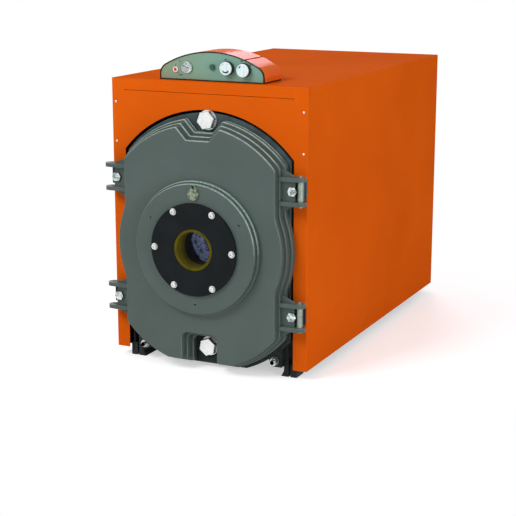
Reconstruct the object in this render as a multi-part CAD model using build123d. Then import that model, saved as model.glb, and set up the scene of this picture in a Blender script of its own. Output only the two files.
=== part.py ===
from build123d import *
import os
from math import acos, cos, degrees, radians, sin, sqrt, tan

# Cast-iron sectional boiler in a sheet jacket, with a hinged front door for a forced-draught burner.
# Origin on the floor under the middle of the boiler, front towards -Y, +Z up, millimetres.

# Throat and burner plate
throat_inner_radius = 64.0
throat_wall = 11.0
throat_length = 60.0
throat_round = 3.0
plate_face_width = 91.0
plate_thickness = 10.0
plate_bolt_inset = 14.5
plate_bolt_count = 6
plate_bolt_flats = 17.0
plate_bolt_head_height = 8.0
plate_bolt_radius = 5.0
plate_bolt_length = 22.0
plate_bolt_clearance = 0.5
plate_washer_radius = 12.0
plate_washer_height = 2.0
head_chamfer = 1.5

# Door shape, seen from the front and worked out from the burner outwards
boss_ring_width = 76.0
boss_step_width = 8.0
boss_margin = 77.0
door_bulge = 27.0
door_arch_radius = 384.0
door_arch_offset = 49.0
door_drop = 9.0
door_flat_height = 13.0
door_corner_radius = 26.0
door_waist_radius = 90.0
dome_grow = 3.0
step_grow = 12.0
flange_grow = 22.0
burner_rise = 3.0
tapped_hole_margin = 34.0
tapped_hole_radius = 4.0
tapped_hole_depth = 14.0
tapped_hole_count = 3
tapped_hole_angle = 30.0
top_notch_half = 45.0
top_notch_angle = 42.5
top_notch_round = 9.0
top_notch_gap = 5.4
bottom_notch_half = 70.0
bottom_notch_round = 24.0
bottom_notch_gap = 9.4
notch_ledge = 22.0
notch_mouth_round = 8.0

# Door shape, from front to back
door_clearance = 6.0
flange_thickness = 24.0
step_thickness = 24.0
dome_thickness = 24.0
boss_step_thickness = 15.0
boss_top_thickness = 15.0
flange_round = 4.0
step_round = 3.0
dome_round = 4.0
boss_round = 4.0
door_wall = 12.0
refractory_setback = 4.0
rope_width = 14.0
rope_inset = 7.0
rope_seat_depth = 8.0
rope_seat_gap = 0.3

# Sight hole
sight_gap = 31.0
sight_bore_radius = 9.0
sight_glass_radius = 15.0
sight_glass_thickness = 4.0
sight_cover_radius = 21.0
sight_cover_thickness = 5.0
sight_cover_gap = 0.5
sight_pivot_rise = 27.0
sight_pivot_radius = 2.5
sight_pivot_head_radius = 4.5
sight_pivot_head_height = 3.0
sight_eye_radius = 6.0
sight_running_clearance = 0.05

# Jacket
door_side_gap = 40.0
door_arch_gap = 47.0
opening_border = 52.0
opening_top_gap = 96.0
rear_space = 115.0
ground_gap = 35.0
sheet = 1.5
bend_radius = 4.0
return_depth = 16.0
lip_height = 40.0
lip_margin = 51.0
seam = 1.5
screw_inset = 16.5
screw_drops = (85.0, 227.0)
screw_head_radius = 4.0
screw_head_height = 2.0

# Port plugs
plug_flats = 60.0
plug_head_height = 21.0
plug_collar_margin = 0.5
plug_collar_height = 4.0
plug_neck_length = 30.0
plug_chamfer = 2.5
plug_turn_angles = (10.0, 20.0)
plug_top_gap = 0.5

# Stack of sections
section_count = 10
section_pitch = 128.0
rim_gap = 10.0
casting_drop = 19.0
section_edge_chamfer = 5.0
back_wall = 28.0
pass_width = 96.0
pass_outer_wall = 18.0
pass_inner_wall = 52.6
pass_middle_angle = 48.0
pass_sweep_angle = 36.0
chamber_rib_width = 30.0
chamber_groove_depth = 8.0
port_margin = 25.0
port_radius = 21.0
port_boss_radius = 31.0
port_face_gap = 5.5
port_face_depth = 8.0
foot_margin = 22.0
foot_inset = 16.0
foot_stem_width = 18.0
foot_flare = 11.0
foot_flare_height = 20.0
rod_radius = 8.0
rod_hole_clearance = 1.0
rod_nut_flats = 26.0
rod_nut_height = 13.0
rod_washer_radius = 16.0
rod_washer_height = 3.0
rod_end = 9.0
rod_low_inset = 60.0
rod_low_height = 25.0
rod_low_lug_radius = 22.0
rod_high_standoff = 42.3
rod_shoulder_angle = 3.4
rod_lug_radius = 24.0
rod_lug_depth = 22.0
rod_lug_setback = 60.0

# Ears, hinge pins and closing bolts
ear_insets = (72.4, 81.4)
ear_spacing = 85.0
ear_thickness = 14.0
ear_end_radius = 21.0
ear_root_front = 58.0
ear_root_back = 12.0
pin_inset = 12.0
pin_standoff = 35.0
pin_radius = 6.0
pin_clearance = 0.05
pin_end = 6.0
barrel_radius = 10.0
barrel_end_clearance = 0.5
lug_height = 60.0
lug_thickness = 12.0
lug_reach = 10.0
lug_neck_inset = 6.0
leaf_half_width = 7.0
bolt_to_pin = 27.0
closing_bolt_flats = 32.0
closing_bolt_head_height = 9.0
closing_bolt_radius = 8.0
closing_bolt_length = 21.0
closing_bolt_hole_clearance = 1.0
web_front = 41.0
web_thickness = 12.0
web_gap_to_pin = 17.0
gusset_rise = 30.0

# Control panel
hood_half_width = 203.5
hood_height = 103.0
hood_shoulder_height = 42.0
hood_corner_radius = 42.0
hood_setback = 33.0
hood_depth = 152.0
hood_wall = 3.0
hood_back_round = 12.0
fascia_thickness = 3.0
fascia_recess = 2.0
knob_radius = 23.0
knob_height = 16.0
knob_skirt_radius = 25.0
knob_skirt_height = 4.0
knob_gap = 0.5
knob_round = 2.0
knob_rim = 4.0
knob_dish_depth = 3.0
knob_bar_width = 9.0
gauge_radius = 21.0
gauge_rim = 2.5
gauge_height = 5.0
reset_radius = 8.0
reset_height = 4.0
switch_radius = 10.0
switch_height = 6.0
thermostat_shares = (0.3145, 0.471)
limit_shares = (0.634, 0.427)
gauge_shares = (-0.467, 0.442)
reset_shares = (-0.693, 0.354)
switch_shares = (0.0246, 0.485)

# Back of the boiler
flue_box_side_margin = 8.0
flue_box_end_margin = 10.0
flue_box_round = 40.0
flue_box_depth = 70.0
flue_box_wall = 8.0
flue_rise = 213.0
flue_radius = 100.0
flue_wall = 5.0
flue_rear_length = 90.0
return_rise = 84.0
pipe_radius = 38.0
pipe_wall = 4.0
pipe_rear_length = 70.0
pipe_boss_margin = 6.0
pipe_boss_depth = 20.0
pipe_flange_radius = 80.0
pipe_flange_thickness = 14.0
pipe_bolt_circle = 130.0
pipe_bolt_count = 4
pipe_bolt_angle = 45.0
pipe_bolt_radius = 7.0
cutout_clearance = 4.0

# Brackets that carry the jacket
bracket_setback = 6.0
bracket_depth = 64.0
bracket_toe = 9.0
bracket_heel = 15.0
bracket_wall = 6.0
bracket_shelf_height = 12.0
bracket_seat_height = 46.0

overrun = 2.0

# Widths worked out from the sizes
throat_outer_radius = throat_inner_radius + throat_wall
plate_radius = throat_outer_radius + plate_face_width
plate_bolt_ring = plate_radius - plate_bolt_inset
boss_radius = plate_radius + boss_ring_width
door_bulge_radius = boss_radius + boss_margin
door_half_width = door_bulge_radius - door_bulge
opening_half_width = door_half_width + door_side_gap
jacket_half_width = opening_half_width + opening_border
lip_half_width = jacket_half_width - lip_margin
pin_x = jacket_half_width - pin_inset
closing_bolt_x = pin_x - bolt_to_pin
section_half_width = opening_half_width - rim_gap
foot_outer_x = section_half_width - foot_inset
foot_stem_x = foot_outer_x - foot_stem_width
rod_low_x = section_half_width - rod_low_inset
pass_start_angle = pass_middle_angle - pass_sweep_angle / 2
pass_end_x = section_half_width - pass_outer_wall - pass_width / 2
pass_radius = pass_end_x / cos(radians(pass_start_angle))
pass_low = pass_radius * sin(radians(pass_start_angle)) - pass_width / 2
pass_high = pass_radius * sin(radians(pass_start_angle + pass_sweep_angle)) + pass_width / 2
chamber_radius = pass_radius - pass_width / 2 - pass_inner_wall
plug_corner_radius = plug_flats / sqrt(3)
port_face_radius = plug_corner_radius + port_face_gap

# Heights above the jacket's lower edge
door_middle_height = door_arch_radius + door_arch_offset - door_drop
chamber_height = door_middle_height + burner_rise
opening_radius = door_arch_radius + door_arch_gap
opening_centre_height = door_middle_height + door_arch_offset
opening_top_height = opening_centre_height + opening_radius
jacket_height = opening_top_height + opening_top_gap
rim_radius = opening_radius - rim_gap
side_rise = door_arch_offset + sqrt(rim_radius**2 - section_half_width**2)
port_top_height = opening_top_height - plug_top_gap - plug_corner_radius
port_bottom_height = port_face_radius + port_margin - casting_drop
sight_height = chamber_height + plate_radius + sight_gap
ear_rise = door_arch_offset + sqrt(door_arch_radius**2 - door_half_width**2)
upper_ear_height = door_middle_height + ear_rise - ear_insets[0]
lower_ear_height = door_middle_height - ear_rise + ear_insets[1]
ear_pair_heights = (upper_ear_height, lower_ear_height)
flue_height = chamber_height + flue_rise
flow_height = port_top_height
return_height = port_bottom_height + return_rise

# Places in the shared frame
jacket_depth = section_count * section_pitch + rear_space
plate_bolt_head_front = plate_bolt_head_height + plate_washer_height
boss_thickness = boss_step_thickness + boss_top_thickness
door_depth = door_clearance + flange_thickness + step_thickness + dome_thickness + boss_thickness
front_reach = door_depth + plate_thickness + plate_bolt_head_front
front_y = front_reach - (front_reach + jacket_depth + flue_rear_length) / 2
rear_y = front_y + jacket_depth
stack_rear_y = front_y + section_count * section_pitch
base_z = ground_gap
top_z = base_z + jacket_height
middle_z = base_z + door_middle_height
burner_z = base_z + chamber_height
arch_z = base_z + opening_centre_height
side_low_z = middle_z - side_rise
flange_back_y = front_y - door_clearance
flange_front_y = flange_back_y - flange_thickness
step_front_y = flange_front_y - step_thickness
dome_front_y = step_front_y - dome_thickness
boss_step_y = dome_front_y - boss_step_thickness
boss_front_y = boss_step_y - boss_top_thickness
plate_front_y = boss_front_y - plate_thickness
pin_y = front_y - pin_standoff
fascia_y = front_y + hood_setback + fascia_recess
rod_high_reach = rim_radius + rod_high_standoff
rod_high_angle = degrees(acos(section_half_width / rim_radius)) + rod_shoulder_angle
rod_high_x = rod_high_reach * cos(radians(rod_high_angle))
rod_high_z = arch_z + rod_high_reach * sin(radians(rod_high_angle))

# Each notch's half-width at the floor, slope of its walls, corner radius and distance to the door's middle
top_notch_keep = plug_corner_radius + top_notch_gap + notch_ledge
bottom_notch_keep = plug_corner_radius + bottom_notch_gap + notch_ledge
top_notch_floor = port_top_height - door_middle_height - top_notch_keep
bottom_notch_floor = door_middle_height - port_bottom_height - bottom_notch_keep
notches = {
    1: (top_notch_half, tan(radians(top_notch_angle)), top_notch_round, top_notch_floor),
    -1: (bottom_notch_half, 0, bottom_notch_round, bottom_notch_floor),
}


def slab(profile, near_y, far_y):
    """Push a profile drawn in X and Z through from near_y back to far_y."""
    return extrude(Plane.XZ.offset(-far_y) * profile, amount=far_y - near_y, dir=Plane.XZ.z_dir)


def disc(x, z, radius, near_y, far_y):
    """A round bar along Y."""
    return slab(Pos(x, z) * Circle(radius), near_y, far_y)


def hexagon(x, z, flats, near_y, far_y, turn=0):
    """A six-sided bar along Y; a turn of zero puts two corners on the X axis."""
    shape = RegularPolygon(flats / sqrt(3), 6, rotation=turn)
    return slab(Pos(x, z) * shape, near_y, far_y)


def box(x0, x1, y0, y1, z0, z1):
    """A block between two corners."""
    centre = ((x0 + x1) / 2, (y0 + y1) / 2, (z0 + z1) / 2)
    return Pos(*centre) * Box(x1 - x0, y1 - y0, z1 - z0)


def upright(x, y, radius, z0, z1):
    """A round bar along Z."""
    return Pos(x, y, z0) * Cylinder(radius, z1 - z0, align=(Align.CENTER, Align.CENTER, Align.MIN))


def both_sides(profile):
    """A profile drawn on the right, with its mirror image on the left."""
    return profile + mirror(profile, about=Plane.YZ)


def front_edges(body):
    """Outer edges of the face nearest to the front."""
    return body.faces().sort_by(Axis.Y)[0].outer_wire().edges()


def ring_places(radius, count, first_angle):
    """Evenly spaced places around the burner axis."""
    places = []
    for index in range(count):
        angle = radians(first_angle + 360 * index / count)
        places.append((radius * cos(angle), burner_z + radius * sin(angle)))
    return places


def arched_region(half_width, radius, centre_z, low_z):
    """Straight sides from low_z up to an arch struck from centre_z."""
    shoulder = centre_z + sqrt(radius**2 - half_width**2)
    low = (half_width, low_z)
    side = (half_width, shoulder)
    far_side = (-half_width, shoulder)
    far_low = (-half_width, low_z)
    outline = [
        Line(low, side),
        ThreePointArc(side, (0, centre_z + radius), far_side),
        Line(far_side, far_low),
        Line(far_low, low),
    ]
    return make_face(outline)


def twin_arched(half, radius):
    """Straight sides between an arch above the door's middle and one below it."""
    rise = door_arch_offset + sqrt(radius**2 - half**2)
    peak = door_arch_offset + radius
    right_high = (half, middle_z + rise)
    left_high = (-half, middle_z + rise)
    left_low = (-half, middle_z - rise)
    right_low = (half, middle_z - rise)
    outline = [
        Line(right_low, right_high),
        ThreePointArc(right_high, (0, middle_z + peak), left_high),
        Line(left_high, left_low),
        ThreePointArc(left_low, (0, middle_z - peak), right_low),
    ]
    return make_face(outline)


def below(z):
    """Everything under a level line, to cut an outline flat."""
    return Pos(0, z - jacket_height / 2) * Rectangle(2 * jacket_half_width, jacket_height)


def door_outline(grow):
    """A waisted panel, arched above and below, with a round bulge about the burner and a flat underside."""
    panel = twin_arched(door_half_width + grow, door_arch_radius + grow)
    panel = fillet(panel.vertices(), radius=door_corner_radius)
    bulge_radius = door_bulge_radius + grow
    shape = panel + Pos(0, middle_z) * Circle(bulge_radius)
    waist_rise = sqrt(bulge_radius**2 - (door_half_width + grow) ** 2)
    waist = [v for v in shape.vertices() if abs(abs(v.Y - middle_z) - waist_rise) < overrun]
    return fillet(waist, radius=door_waist_radius) - below(base_z + door_flat_height - grow)


def notch_corners(side, grow):
    """Level and half-width of a notch's floor, then of its mouth, from the middle of the door."""
    half, slope, _, floor = notches[side]
    low = floor - grow
    high = door_arch_offset + door_arch_radius + flange_grow + overrun
    low_half = half + grow * (sqrt(1 + slope**2) - slope)
    return low, low_half, high, low_half + slope * (high - low)


def notch(side, grow):
    """Notch that leaves a port plug open; side is 1 at the top of the door, -1 below."""
    low, low_half, high, high_half = notch_corners(side, grow)
    points = [(-high_half, high), (high_half, high), (low_half, low), (-low_half, low)]
    shape = make_face(Polyline(*[(x, middle_z + side * z) for x, z in points], close=True))
    corners = [v for v in shape.vertices() if abs(v.Y - middle_z) < low + overrun]
    return fillet(corners, radius=notches[side][2])


def notched(outline_grow, notch_grow):
    """A door outline with a notch at the top and another at the bottom."""
    shape = door_outline(outline_grow) - notch(1, notch_grow) - notch(-1, notch_grow)
    mouths = []
    for side in (-1, 1):
        low, _, _, high_half = notch_corners(side, notch_grow)
        level = low + 2 * notches[side][2]
        for corner in shape.vertices():
            if side * (corner.Y - middle_z) > level and abs(corner.X) < high_half + overrun:
                mouths.append(corner)
    return fillet(mouths, radius=notch_mouth_round)


def section_outline():
    """Outline of every casting in the stack."""
    return twin_arched(section_half_width, rim_radius) - below(base_z - casting_drop)


def pass_slots(upper):
    """The two curved flue passes above the chamber, or the two below it."""
    arc = CenterArc((0, 0), pass_radius, pass_start_angle, pass_sweep_angle)
    pair = both_sides(SlotArc(arc, pass_width))
    return Pos(0, burner_z) * (pair if upper else mirror(pair, about=Plane.XZ))


def feet():
    """A foot at each lower corner, flared towards the middle at the floor."""
    points = [
        (foot_outer_x, 0),
        (foot_outer_x, side_low_z),
        (foot_stem_x, side_low_z),
        (foot_stem_x, foot_flare_height),
        (foot_stem_x - foot_flare, 0),
    ]
    return both_sides(make_face(Polyline(*points, close=True)))


def lower_lugs():
    """Lugs between the lower arch and the feet, drilled for the lower tie rods."""
    z = base_z + rod_low_height
    low = z - rod_low_lug_radius
    points = [
        (rod_low_x, low),
        (foot_stem_x, low),
        (foot_stem_x, side_low_z),
        (rod_low_x - rod_low_lug_radius, side_low_z),
        (rod_low_x - rod_low_lug_radius, z),
        (rod_low_x, z),
    ]
    lug = make_face(Polyline(*points, close=True)) + Pos(rod_low_x, z) * Circle(rod_low_lug_radius)
    return both_sides(lug)


def section_body(near_y, far_y, closing=0):
    """One casting; closing is the thickness of its back wall, zero where the chamber runs through."""
    body = slab(section_outline(), near_y, far_y)
    rims = body.faces().filter_by(Axis.Y).edges()
    body = chamfer(rims, section_edge_chamfer)
    body = body + disc(0, base_z + port_top_height, port_boss_radius, near_y, far_y)
    body = body + slab(lower_lugs(), near_y, far_y)
    body = body + slab(feet(), near_y + foot_margin, far_y - foot_margin)
    chamber_end = far_y - closing if closing else far_y + overrun
    groove_end = far_y - closing - chamber_rib_width
    groove_radius = chamber_radius + chamber_groove_depth
    body = body - disc(0, burner_z, chamber_radius, near_y - overrun, chamber_end)
    body = body - disc(0, burner_z, groove_radius, near_y + chamber_rib_width, groove_end)
    body = body - slab(pass_slots(True), near_y - overrun, far_y + overrun)
    body = body - slab(pass_slots(False), near_y - overrun, chamber_end)
    hole = rod_radius + rod_hole_clearance
    for side in (-1, 1):
        x = side * rod_low_x
        body = body - disc(x, base_z + rod_low_height, hole, near_y - overrun, far_y + overrun)
    return body


def port_bore(height, near_y, far_y):
    """Water port along the stack."""
    return disc(0, base_z + height, port_radius, near_y, far_y)


def shoulder_lugs(near_y):
    """Lugs on the upper arch that take the upper tie rods."""
    length = rod_high_standoff + rod_lug_radius
    tie = Pos(rod_high_reach - length / 2, 0) * Rectangle(length, rod_lug_radius)
    lug = tie + Pos(rod_high_reach, 0) * Circle(rod_lug_radius)
    lug = lug - Pos(rod_high_reach, 0) * Circle(rod_radius + rod_hole_clearance)
    pair = both_sides(Rot(0, 0, rod_high_angle) * lug)
    return slab(Pos(0, arch_z) * pair, near_y, near_y + rod_lug_depth)


def hinge_lug(side, pair_height):
    """Lug of the front casting behind one pair of door ears, reaching out through the opening."""
    z = base_z + pair_height
    outer = side * (pin_x + lug_reach)
    clear = side * (opening_half_width - lug_neck_inset)
    inner = side * (section_half_width - lug_thickness)
    through = side * (opening_half_width - seam)
    low, high = z - lug_height / 2, z + lug_height / 2
    back_y = front_y + lug_thickness
    plate = box(min(clear, outer), max(clear, outer), front_y - lug_thickness, front_y, low, high)
    neck = box(min(clear, through), max(clear, through), front_y - lug_thickness, back_y, low, high)
    root = box(min(inner, through), max(inner, through), front_y, back_y, low, high)
    tap_y = front_y - lug_thickness - overrun
    tapped = disc(side * closing_bolt_x, z, closing_bolt_radius, tap_y, front_y + overrun)
    return plate + neck + root - tapped


def hinge_leaf(pair_height):
    """Web from the lug to the saddle of the hinge barrel."""
    z = base_z + pair_height
    low, high = z - lug_height / 2, z + lug_height / 2
    web = box(pin_x - leaf_half_width, pin_x + leaf_half_width, pin_y, front_y - lug_thickness, low, high)
    return web - upright(pin_x, pin_y, barrel_radius, low - overrun, high + overrun)


def front_section():
    body = section_body(front_y, front_y + section_pitch)
    for height in (port_top_height, port_bottom_height):
        body = body - port_bore(height, front_y - overrun, front_y + section_pitch + overrun)
        body = body - disc(0, base_z + height, port_face_radius, front_y - overrun, front_y + port_face_depth)
    body = body + shoulder_lugs(front_y + rod_lug_setback)
    for height in ear_pair_heights:
        body = body + hinge_lug(-1, height) + hinge_lug(1, height) + hinge_leaf(height)
    return body


def middle_section(index):
    near_y = front_y + index * section_pitch
    far_y = near_y + section_pitch
    body = section_body(near_y, far_y)
    for height in (port_top_height, port_bottom_height):
        body = body - port_bore(height, near_y - overrun, far_y + overrun)
    return body


def rear_section():
    """Closed casting with the flow port above and the return port, fed by a riser, below."""
    near_y = stack_rear_y - section_pitch
    inner_y = stack_rear_y - back_wall
    riser_y = inner_y - port_radius
    body = section_body(near_y, stack_rear_y, back_wall)
    for height in (flow_height, return_height):
        boss_radius = pipe_radius + pipe_boss_margin
        body = body + disc(0, base_z + height, boss_radius, stack_rear_y - pipe_boss_depth, stack_rear_y)
    body = body - port_bore(flow_height, near_y - overrun, stack_rear_y + overrun)
    body = body - port_bore(port_bottom_height, near_y - overrun, inner_y)
    body = body - port_bore(return_height, riser_y, stack_rear_y + overrun)
    body = body - upright(0, riser_y, port_radius, base_z + port_bottom_height, base_z + return_height)
    return body + shoulder_lugs(stack_rear_y - rod_lug_setback - rod_lug_depth)


def tie_rod(x, z, near, far):
    """Threaded rod with a washer and a nut at each end."""
    end = rod_washer_height + rod_nut_height + rod_end
    rod = disc(x, z, rod_radius, near - end, far + end)
    for seat, way in ((near, -1), (far, 1)):
        washer_end = seat + way * rod_washer_height
        nut_end = washer_end + way * rod_nut_height
        rod = rod + disc(x, z, rod_washer_radius, min(seat, washer_end), max(seat, washer_end))
        rod = rod + hexagon(x, z, rod_nut_flats, min(washer_end, nut_end), max(washer_end, nut_end))
    return rod


def tie_rods():
    """Four threaded rods that clamp the stack."""
    rods = []
    for side in (-1, 1):
        rods.append(tie_rod(side * rod_low_x, base_z + rod_low_height, front_y, stack_rear_y))
        near, far = front_y + rod_lug_setback, stack_rear_y - rod_lug_setback
        rods.append(tie_rod(side * rod_high_x, rod_high_z, near, far))
    return rods


def port_plug(height, turn):
    """Hexagon plug with a collar, screwed into a water port."""
    z = base_z + height
    seat = front_y + port_face_depth
    head_back = seat - plug_collar_height
    collar = disc(0, z, plug_corner_radius + plug_collar_margin, head_back, seat)
    head = hexagon(0, z, plug_flats, head_back - plug_head_height, head_back, turn)
    head = chamfer(front_edges(head), plug_chamfer)
    neck = disc(0, z, port_radius, seat, seat + plug_neck_length)
    return head + collar + neck


def front_panel():
    """Folded front sheet with the arched opening and a cut-back top between its corners."""
    outer = Pos(0, front_y + return_depth / 2) * Rectangle(2 * jacket_half_width, return_depth)
    corners = outer.vertices().sort_by(Axis.Y)[0:2]
    outer = fillet(corners, radius=bend_radius)
    inner_width = 2 * (jacket_half_width - sheet)
    inner = Pos(0, front_y + sheet + return_depth / 2) * Rectangle(inner_width, return_depth)
    corners = inner.vertices().sort_by(Axis.Y)[0:2]
    inner = fillet(corners, radius=bend_radius - sheet)
    tray = Pos(0, 0, base_z) * extrude(outer - inner, amount=jacket_height - sheet)
    opening = arched_region(opening_half_width, opening_radius, arch_z, base_z - overrun)
    near_y, far_y = front_y - overrun, front_y + sheet + overrun
    tray = tray - slab(opening, near_y, far_y)
    return tray - box(-lip_half_width, lip_half_width, near_y, far_y, top_z - lip_height - seam, top_z)


def bent_block(half_width, near_y, far_y, low_z, high_z, radius):
    """A block with its upper front edge rounded, for one side of a bent sheet."""
    block = box(-half_width, half_width, near_y, far_y, low_z, high_z)
    edge = block.edges().filter_by(Axis.X).group_by(Axis.Z)[-1].sort_by(Axis.Y)[0]
    return fillet(edge, radius=radius)


def top_panel():
    """Top sheet, bent down at the front into a lip between the corners."""
    bend_y = front_y + bend_radius
    far_y = bend_y + overrun
    low_z = top_z - lip_height
    body = box(-jacket_half_width, jacket_half_width, bend_y, rear_y, top_z - sheet, top_z)
    outer = bent_block(lip_half_width, front_y, far_y, low_z, top_z, bend_radius)
    reach = lip_half_width + overrun
    inner_round = bend_radius - sheet
    inner = bent_block(reach, front_y + sheet, far_y + overrun, low_z - overrun, top_z - sheet, inner_round)
    body = body + (outer - inner)
    for side in (-1, 1):
        edge, corner = side * lip_half_width, side * jacket_half_width
        body = body + box(min(edge, corner), max(edge, corner), front_y, bend_y, top_z - sheet, top_z)
    return body


def side_panel(side):
    outer = side * jacket_half_width
    inner = outer - side * sheet
    x0, x1 = min(inner, outer), max(inner, outer)
    return box(x0, x1, front_y + return_depth, rear_y - sheet, base_z, top_z - sheet)


def rear_panel():
    panel = box(-jacket_half_width, jacket_half_width, rear_y - sheet, rear_y, base_z, top_z - sheet)
    cuts = [(flue_height, flue_radius + flue_wall), (flow_height, pipe_radius), (return_height, pipe_radius)]
    for height, radius in cuts:
        hole = radius + cutout_clearance
        panel = panel - disc(0, base_z + height, hole, rear_y - sheet - overrun, rear_y + overrun)
    return panel


def panel_screws():
    """Screws that hold the front and the rear sheet."""
    screws = []
    for side in (-1, 1):
        x = side * (jacket_half_width - screw_inset)
        for drop in screw_drops:
            screws.append(disc(x, top_z - drop, screw_head_radius, front_y - screw_head_height, front_y))
            screws.append(disc(x, top_z - drop, screw_head_radius, rear_y, rear_y + screw_head_height))
    return screws


def corner_brackets():
    """Brackets that stand on the floor, bolt to the castings' sides and carry the jacket."""
    shelf_z = base_z + bracket_shelf_height
    foot_high = [
        (section_half_width - bracket_toe, 0),
        (section_half_width + bracket_heel, 0),
        (section_half_width + bracket_heel, shelf_z - bracket_wall),
        (jacket_half_width - sheet, shelf_z - bracket_wall),
        (jacket_half_width - sheet, shelf_z),
        (section_half_width + bracket_wall, shelf_z),
        (section_half_width + bracket_wall, side_low_z + bracket_seat_height),
        (section_half_width, side_low_z + bracket_seat_height),
        (section_half_width, shelf_z),
        (section_half_width - bracket_toe, shelf_z),
    ]
    pair = both_sides(make_face(Polyline(*foot_high, close=True)))
    inset = return_depth + bracket_setback
    front_pair = slab(pair, front_y + inset, front_y + inset + bracket_depth)
    rear_pair = slab(pair, stack_rear_y - inset - bracket_depth, stack_rear_y - inset)
    return [front_pair, rear_pair]


def hood_profile(inset):
    """Arched outline of the control housing, standing on the top panel."""
    rise = hood_height - hood_shoulder_height
    arch_radius = (hood_half_width**2 + rise**2) / (2 * rise)
    centre_z = top_z + hood_height - arch_radius
    shape = arched_region(hood_half_width - inset, arch_radius - inset, centre_z, top_z + inset)
    shoulders = shape.vertices().sort_by(Axis.Y)[2:4]
    return fillet(shoulders, radius=hood_corner_radius - inset)


def control_hood():
    near_y = front_y + hood_setback
    far_y = near_y + hood_depth
    shell = slab(hood_profile(0), near_y, far_y)
    shell = fillet(shell.faces().sort_by(Axis.Y)[-1].edges().sort_by(Axis.Z)[1:], radius=hood_back_round)
    return shell - slab(hood_profile(hood_wall), near_y - overrun, far_y - hood_wall)


def control_fascia():
    return slab(hood_profile(hood_wall), fascia_y, fascia_y + fascia_thickness)


def on_fascia(shares):
    """Place of a control from its shares of the hood's half-width and height."""
    return hood_half_width * shares[0], top_z + hood_height * shares[1]


def temperature_gauge():
    """Bezel around a sunk dial."""
    x, z = on_fascia(gauge_shares)
    front = fascia_y - gauge_height
    rim = disc(x, z, gauge_radius, front, fascia_y)
    return rim - disc(x, z, gauge_radius - gauge_rim, front - overrun, fascia_y - gauge_height / 2)


def push_control(shares, radius, height):
    """Round button that stands out from the fascia."""
    x, z = on_fascia(shares)
    return disc(x, z, radius, fascia_y - height, fascia_y)


def knob(shares):
    """Turning knob with a skirt, a dished face and a bar to grip."""
    x, z = on_fascia(shares)
    back_y = fascia_y - knob_gap
    cap_back = back_y - knob_skirt_height
    cap_front = cap_back - knob_height
    dish_radius = knob_radius - knob_rim
    cap = disc(x, z, knob_radius, cap_front, cap_back)
    cap = fillet(front_edges(cap), radius=knob_round)
    cap = cap - disc(x, z, dish_radius, cap_front - overrun, cap_front + knob_dish_depth)
    half = knob_bar_width / 2
    bar = box(x - half, x + half, cap_front, cap_front + knob_dish_depth, z - dish_radius, z + dish_radius)
    return disc(x, z, knob_skirt_radius, cap_back, back_y) + cap + bar


def flue_box():
    """Cast box that gathers the upper passes into the flue."""
    half = section_half_width - flue_box_side_margin
    low = burner_z + pass_low - flue_box_end_margin
    high = burner_z + pass_high + flue_box_end_margin
    far_y = stack_rear_y + flue_box_depth
    shape = Pos(0, (low + high) / 2) * Rectangle(2 * half, high - low)
    inside = offset(shape, amount=-flue_box_wall)
    body = slab(fillet(shape.vertices(), radius=flue_box_round), stack_rear_y, far_y)
    inside = fillet(inside.vertices(), radius=flue_box_round - flue_box_wall)
    body = body - slab(inside, stack_rear_y - overrun, far_y - flue_box_wall)
    return body - disc(0, base_z + flue_height, flue_radius, stack_rear_y, far_y + overrun)


def flue_collar():
    z = base_z + flue_height
    near_y = stack_rear_y + flue_box_depth
    tube = disc(0, z, flue_radius + flue_wall, near_y, rear_y + flue_rear_length)
    return tube - disc(0, z, flue_radius, near_y - overrun, rear_y + flue_rear_length + overrun)


def water_connection(height):
    """Pipe stub from the rear casting, ending in a drilled flange."""
    z = base_z + height
    end_y = rear_y + pipe_rear_length
    plate_y = end_y - pipe_flange_thickness
    body = disc(0, z, pipe_radius, stack_rear_y, end_y) + disc(0, z, pipe_flange_radius, plate_y, end_y)
    body = body - disc(0, z, pipe_radius - pipe_wall, stack_rear_y - overrun, end_y + overrun)
    for x, place_z in ring_places(pipe_bolt_circle / 2, pipe_bolt_count, pipe_bolt_angle):
        body = body - disc(x, place_z - burner_z + z, pipe_bolt_radius, plate_y - overrun, end_y + overrun)
    return body


def ear(side, z):
    """Horizontal door ear with a rounded end about the pin."""
    root = side * (door_half_width - door_wall)
    tip = side * pin_x
    hull = [
        (root, front_y - ear_root_front),
        (tip, pin_y - ear_end_radius),
        (tip, pin_y + ear_end_radius),
        (root, front_y - ear_root_back),
    ]
    plan = make_face(Polyline(*hull, close=True)) + Pos(tip, pin_y) * Circle(ear_end_radius)
    plan = plan - Pos(tip, pin_y) * Circle(pin_radius + pin_clearance)
    return Pos(0, 0, z - ear_thickness / 2) * extrude(plan, amount=ear_thickness)


def ear_set(side, pair_height):
    """Two ears and the web between them that takes the closing bolt."""
    z = base_z + pair_height
    ears = ear(side, z + ear_spacing / 2) + ear(side, z - ear_spacing / 2)
    root = side * (door_half_width - door_wall)
    flank = side * door_half_width
    edge = side * (pin_x - web_gap_to_pin)
    half = (ear_spacing + ear_thickness) / 2
    tall = half + gusset_rise
    near_y = front_y - web_front
    far_y = near_y + web_thickness
    points = [(root, z + tall), (flank, z + tall), (edge, z + half)]
    points += [(edge, z - half), (flank, z - tall), (root, z - tall)]
    web = slab(make_face(Polyline(*points, close=True)), near_y, far_y)
    hole = closing_bolt_radius + closing_bolt_hole_clearance
    return ears + web - disc(side * closing_bolt_x, z, hole, near_y - overrun, far_y + overrun)


def door_tier(grow, notch_grow, near_y, edge_round):
    """One step of the door's stepped rim, with its front edge rounded."""
    body = slab(notched(grow, notch_grow), near_y, flange_back_y)
    return fillet(front_edges(body), radius=edge_round)


def boss_tier(radius, near_y):
    """One step of the raised ring around the burner."""
    body = disc(0, burner_z, radius, near_y, dome_front_y + door_wall)
    return fillet(front_edges(body), radius=boss_round)


def cavity_outline():
    """Outline of the refractory inside the door."""
    return notched(dome_grow - door_wall, door_wall)


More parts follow.
